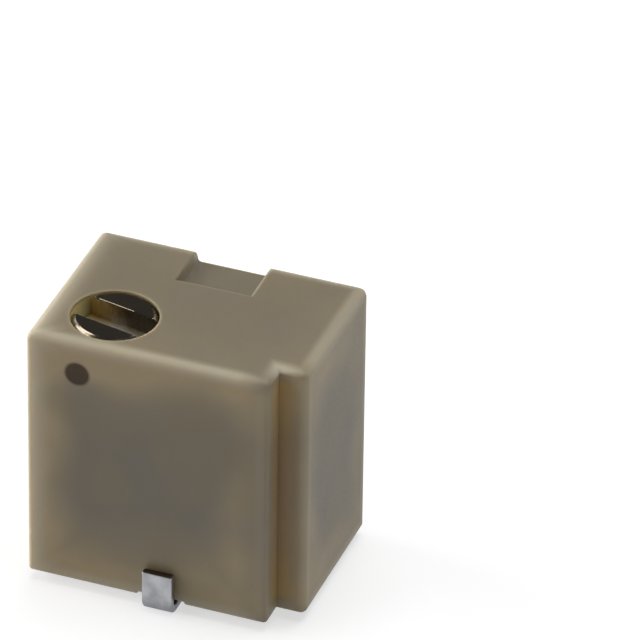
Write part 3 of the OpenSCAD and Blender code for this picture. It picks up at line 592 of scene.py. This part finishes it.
def rounded_section(width, height, radius, inset, steps=5):
    """A closed outline of a rectangle with round corners, drawn in by each value of inset."""
    quarter = np.linspace(0, math.pi / 2, steps)
    turn = np.concatenate([quarter + k * math.pi / 2 for k in range(4)])
    sx = np.repeat([1, -1, -1, 1], steps)
    sy = np.repeat([1, 1, -1, -1], steps)
    u = sx * (width / 2 - radius) + radius * np.cos(turn)
    v = sy * (height / 2 - radius) + radius * np.sin(turn)
    return u * (1 - 2 * inset[:, None] / width), v * (1 - 2 * inset[:, None] / height)


def strip(name, x, line):
    """A section carried along a line in Y and Z, at right angles to it, and drawn in at both ends."""
    reach = np.concatenate([[0], np.cumsum(np.linalg.norm(np.diff(line, axis=0), axis=1))])
    ease = strip_edge_r * (1 - np.cos(np.linspace(0, math.pi / 2, 5)))
    stations = np.unique(np.concatenate([ease, reach[1:-1], reach[-1] - ease]))
    path = np.column_stack([np.interp(stations, reach, line[:, k]) for k in (0, 1)])
    tangent = np.gradient(path, stations, axis=0)
    tangent /= np.linalg.norm(tangent, axis=1, keepdims=True)
    from_end = np.clip(np.minimum(stations, reach[-1] - stations), 0, strip_edge_r)
    inset = strip_edge_r - np.sqrt(strip_edge_r ** 2 - (strip_edge_r - from_end) ** 2)
    u, v = rounded_section(strip_w, strip_t, strip_edge_r, inset)
    points = np.stack([x + u, path[:, :1] - tangent[:, 1:] * v, path[:, 1:] + tangent[:, :1] * v], axis=-1)
    rows, turns = u.shape
    ends = [list(range(turns)), list(range((rows - 1) * turns, rows * turns))]
    piece = new_piece(name, points.reshape(-1, 3), grid_faces(rows, turns) + ends)
    piece.data.shade_smooth()
    piece.data.set_sharp_from_angle(angle=math.radians(50))
    return piece


tin, tree, surface = new_material("matte_tin_plate")
place = add(tree, "TexCoord", output="Object")
place = add(tree, "Mapping", {"Vector": place, "Scale": (1 / MM,) * 3})
where = add(tree, "SeparateXYZ", (place,), None)
# Tin grains are a few hundredths of a millimetre: drawn twice as coarse, so that they show
grains = add(tree, "TexNoise", {"Vector": place, "Scale": 16.0, "Detail": 4.0, "Roughness": 0.6}, "Fac")
smears = add(tree, "TexNoise", {"Vector": place, "Scale": 3.5, "Detail": 2.0}, "Fac")
tone = add(tree, "MapRange", (smears, 0.35, 0.7))
tin_colour = add(tree, "Mix", {0: tone, MIX_A: linear("#aeafb3"), MIX_B: linear("#9a9b9f")}, MIX_OUT,
                 data_type="RGBA")
# The strips are plated on their lead frame and cut off it last, so their outer ends show tarnished alloy
end_level = add(tree, "MapRange", (where["Y"], -0.1, 0.1, bottom + front_rise, bottom + back_rise))
below_end = add(tree, "Math", (end_level, where["Z"]), operation="SUBTRACT")
at_end = add(tree, "Math", (below_end, cut_skin), operation="LESS_THAN")
from_middle = add(tree, "Math", (where["Y"],), operation="ABSOLUTE")
outside = add(tree, "Math", (from_middle, back), operation="GREATER_THAN")
end_cut = add(tree, "Math", (at_end, outside), operation="MULTIPLY")
# Painted shade: the tin is painted greyer towards the bend at the foot
foot = add(tree, "MapRange", (where["Z"], 0.08, 0.35, 0.75, 0.0))
for share, colour in ((end_cut, "#54483c"), (foot, "#7d7e82")):
    tin_colour = add(tree, "Mix", {0: share, MIX_A: tin_colour, MIX_B: linear(colour)}, MIX_OUT,
                     data_type="RGBA")
dull = add(tree, "MapRange", (smears, 0.3, 0.7, 0.38, 0.55))
relief = add(tree, "Bump", {"Height": grains, "Strength": 1.0, "Distance": 2e-6})
relief = add(tree, "Bump", {"Height": smears, "Strength": 1.0, "Distance": 8e-6, "Normal": relief})
feed(surface, {"Base Color": tin_colour, "Roughness": dull, "Normal": relief, "Metallic": 1.0})

for name in ("end_terminal_left", "end_terminal_right"):
    low, high = (np.array(corner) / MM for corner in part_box(name))
    leg, outer = low[1] + strip_t / 2, high[1] - strip_t / 2
    line = bent_line([(leg, high[2]), (leg, strip_t / 2), (outer, strip_t / 2), (outer, bottom + back_rise)],
                     [exit_bend, wrap_bend])
    fit(strip(name + "_strip", (low[0] + high[0]) / 2, line), "body", "tinned_strip", tin, name)
low, high = (np.array(corner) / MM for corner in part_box("wiper_terminal"))
outer, tab = low[1] + strip_t / 2, high[1] - strip_t / 2
leg, run = front + leg_in, bottom + run_rise + strip_t / 2
line = bent_line([(tab, high[2]), (tab, run), (leg, run), (leg, strip_t / 2), (outer, strip_t / 2),
                  (outer, bottom + front_rise)], [exit_bend, exit_bend, exit_bend, wrap_bend])
fit(strip("wiper_terminal_strip", (low[0] + high[0]) / 2, line), "body", "tinned_strip", tin,
    "wiper_terminal")

# The O-ring.
# Silicone rubber, moulded in two halves. It sits in the head's groove and keeps out wash water.
ring_low, ring_high = (np.array(corner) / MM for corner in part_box("screw_o_ring"))
section_r = (ring_high[2] - ring_low[2]) / 2
middle_r = (ring_high[0] - ring_low[0]) / 2 - section_r
ring_sides, section_sides = 96, 24
about, across = np.meshgrid(np.arange(ring_sides) * 2 * math.pi / ring_sides,
                            np.arange(section_sides) * 2 * math.pi / section_sides, indexing="ij")
# A circle of the section's radius carried round a circle of the ring's middle radius
reach = middle_r + section_r * np.cos(across)
level = (ring_low[2] + ring_high[2]) / 2 + section_r * np.sin(across)
points = np.stack([screw_x + reach * np.cos(about), screw_y + reach * np.sin(about), level], axis=-1)
o_ring = new_piece("rubber_o_ring", points.reshape(-1, 3), grid_faces(ring_sides, section_sides, ring=True))
o_ring.data.shade_smooth()
# Its skin is faintly clouded by bloom, in patches of 0.2 mm
bloom_mm = 0.2
rubber, tree, surface = new_material("silicone_rubber")
place = add(tree, "TexCoord", output="Object")
bloom = add(tree, "TexNoise", {"Vector": place, "Scale": 1 / (bloom_mm * MM), "Detail": 3.0}, "Fac")
tint = add(tree, "Mix", {0: bloom, MIX_A: linear("#2a2522"), MIX_B: linear("#3a332e")}, MIX_OUT,
           data_type="RGBA")
feed(surface, {"Base Color": tint, "Roughness": 0.6})
fit(o_ring, "screw", "o_ring_rubber", rubber, "screw_o_ring")


# The inner pieces.
# Retainer plate of spring steel, worm wheel of acetal, rotor of black glass-filled nylon, contact spring of
# precious-metal alloy, and the alumina substrate with its printed and fired films and soldered terminals.
def inner_finish(name, dark, light, grain_mm, roughness, metallic=0.0, relief_m=1e-6):
    """A finish whose colour and relief vary with a noise of the given grain."""
    made, tree, surface = new_material(name)
    place = add(tree, "TexCoord", output="Object")
    noise = add(tree, "TexNoise", {"Vector": place, "Scale": 1 / (grain_mm * MM), "Detail": 3.0}, "Fac")
    tint = add(tree, "Mix", {0: noise, MIX_A: linear(dark), MIX_B: linear(light)}, MIX_OUT, data_type="RGBA")
    bump = add(tree, "Bump", {"Height": noise, "Strength": 1.0, "Distance": relief_m})
    feed(surface, {"Base Color": tint, "Normal": bump, "Roughness": roughness, "Metallic": metallic})
    return made


solder_finish = inner_finish("tin_solder", "#a5a7a9", "#cdced0", 0.15, 0.3, 1.0, 4e-6)
electrode_finish = inner_finish("fired_silver_film", "#b5b5b0", "#d2d2cd", 0.03, 0.4, 1.0)
inner_finishes = {
    "screw_retainer": inner_finish("spring_steel", "#85888c", "#a2a5a9", 0.08, 0.35, 1.0),
    "worm_wheel": inner_finish("acetal", "#ddd6c4", "#ebe5d6", 0.3, 0.4),
    "rotor_hub": inner_finish("glass_filled_nylon", "#2c2a27", "#403d39", 0.05, 0.5),
    "contact_spring": inner_finish("precious_metal_alloy", "#b8924e", "#d3ae6b", 0.1, 0.25, 1.0),
    "ceramic_substrate": inner_finish("alumina", "#e6e3db", "#f4f2ec", 0.04, 0.6),
    "resistive_track": inner_finish("cermet_film", "#1d1b18", "#36322c", 0.03, 0.3),
    "end_electrode_left": electrode_finish, "end_electrode_right": electrode_finish,
    "collector_electrode": electrode_finish,
    "solder_joint_left": solder_finish, "solder_joint_right": solder_finish,
    "solder_joint_wiper": solder_finish,
}
for name, finish in inner_finishes.items():
    mesh = frame["nodes"][name].data
    mesh.materials.clear()
    mesh.materials.append(finish)

# The floor.
# A pale matte sheet, large enough to fill every view.
floor_mesh = bpy.data.meshes.new("floor")
floor_half = 0.6
floor_corners = [(x * floor_half, y * floor_half, 0) for x, y in rectangle(-1, 1, -1, 1)]
floor_mesh.from_pydata(floor_corners, [], [(0, 1, 2, 3)])
floor = bpy.data.objects.new("floor", floor_mesh)
bpy.context.scene.collection.objects.link(floor)
paper, tree, surface = new_material("pale_matte_paper")
# Camera and gloss see the sheet lifted to white, with the object's shadow still on it
seen = add(tree, "LightPath", output=None)
seen = add(tree, "Math", (seen["Is Camera Ray"], seen["Is Glossy Ray"]), operation="MAXIMUM")
lift = add(tree, "Math", (seen, 0.6), operation="MULTIPLY")
feed(surface, {"Base Color": linear("#c4c4c4"), "Roughness": 0.9, "Specular IOR Level": 0.0,
               "Emission Color": linear("#ffffff"), "Emission Strength": lift})
floor_mesh.materials.append(paper)

# The light.
# Soft boxes above and on both sides, a dim room, and a white sweep behind that camera and gloss see.
world = bpy.data.worlds.new("studio")
bpy.context.scene.world = world
world.use_nodes = True
tree = world.node_tree
tree.nodes.clear()
white_paint = linear("#ffffff")
sight = add(tree, "LightPath", output=None)
direction = add(tree, "TexCoord", output="Generated")
height = add(tree, "SeparateXYZ", (direction,), "Z")
sweep = add(tree, "MapRange", (height, 0.2, 0.4, 1.0, 0.0))
mirrored = add(tree, "Math", (sight["Is Glossy Ray"], sight["Is Transmission Ray"]), operation="MAXIMUM")
mirrored = add(tree, "Math", (mirrored, sweep), operation="MULTIPLY")
white = add(tree, "Math", (sight["Is Camera Ray"], mirrored), operation="MAXIMUM")
dimmer = add(tree, "MapRange", {"Value": sight["Is Glossy Ray"], "To Min": 0.12, "To Max": 0.06})
room_light = add(tree, "Background", {"Color": white_paint, "Strength": dimmer})
backdrop = add(tree, "Background", {"Color": white_paint, "Strength": 1.0})
both = add(tree, "MixShader", (white, room_light, backdrop))
add(tree, "OutputWorld", {"Surface": both}, None)


def soft_box(name, azimuth, elevation, distance, width, height, level, colour="#ffffff"):
    """A lamp that faces the object. A white surface turned to it shows that level."""
    turn, rise = math.radians(azimuth), math.radians(elevation)
    aim = Vector((0, 0, 0.0025))
    away = Vector((math.sin(turn) * math.cos(rise), -math.cos(turn) * math.cos(rise), math.sin(rise)))
    lamp = bpy.data.lights.new(name, "AREA")
    lamp.shape, lamp.size, lamp.size_y = "RECTANGLE", width, height
    lamp.energy = level * math.pi ** 2 * distance ** 2
    lamp.color = linear(colour)[:3]
    holder = bpy.data.objects.new(name, lamp)
    bpy.context.scene.collection.objects.link(holder)
    holder.location = aim + away * distance
    holder.rotation_euler = away.to_track_quat("Z", "Y").to_euler()


soft_box("box_above", 160, 78, 0.4, 0.3, 0.3, 0.62)
soft_box("box_left", -72, 34, 0.4, 0.42, 0.14, 0.4)
soft_box("box_beside", -88, 6, 0.4, 0.2, 0.06, 0.6)
soft_box("box_right", 95, 30, 0.4, 0.25, 0.25, 0.09, "#e2ebff")

# The camera.
# A long lens from the right and above. Its length, place and turn were solved from the corners of the part,
# so that they fall where the photograph has them.
camera_data = bpy.data.cameras.new("camera")
camera_data.sensor_width, camera_data.lens = 36.0, 456.65
camera_data.clip_start, camera_data.clip_end = 0.001, 10.0
camera = bpy.data.objects.new("camera", camera_data)
bpy.context.scene.collection.objects.link(camera)
camera.location = Vector((42.417, -108.882, 83.066)) * MM
camera.rotation_euler = [math.radians(turn) for turn in (56.2564, -0.7069, 20.7205)]
bpy.context.scene.camera = camera
bpy.context.scene.view_settings.view_transform = "Standard"
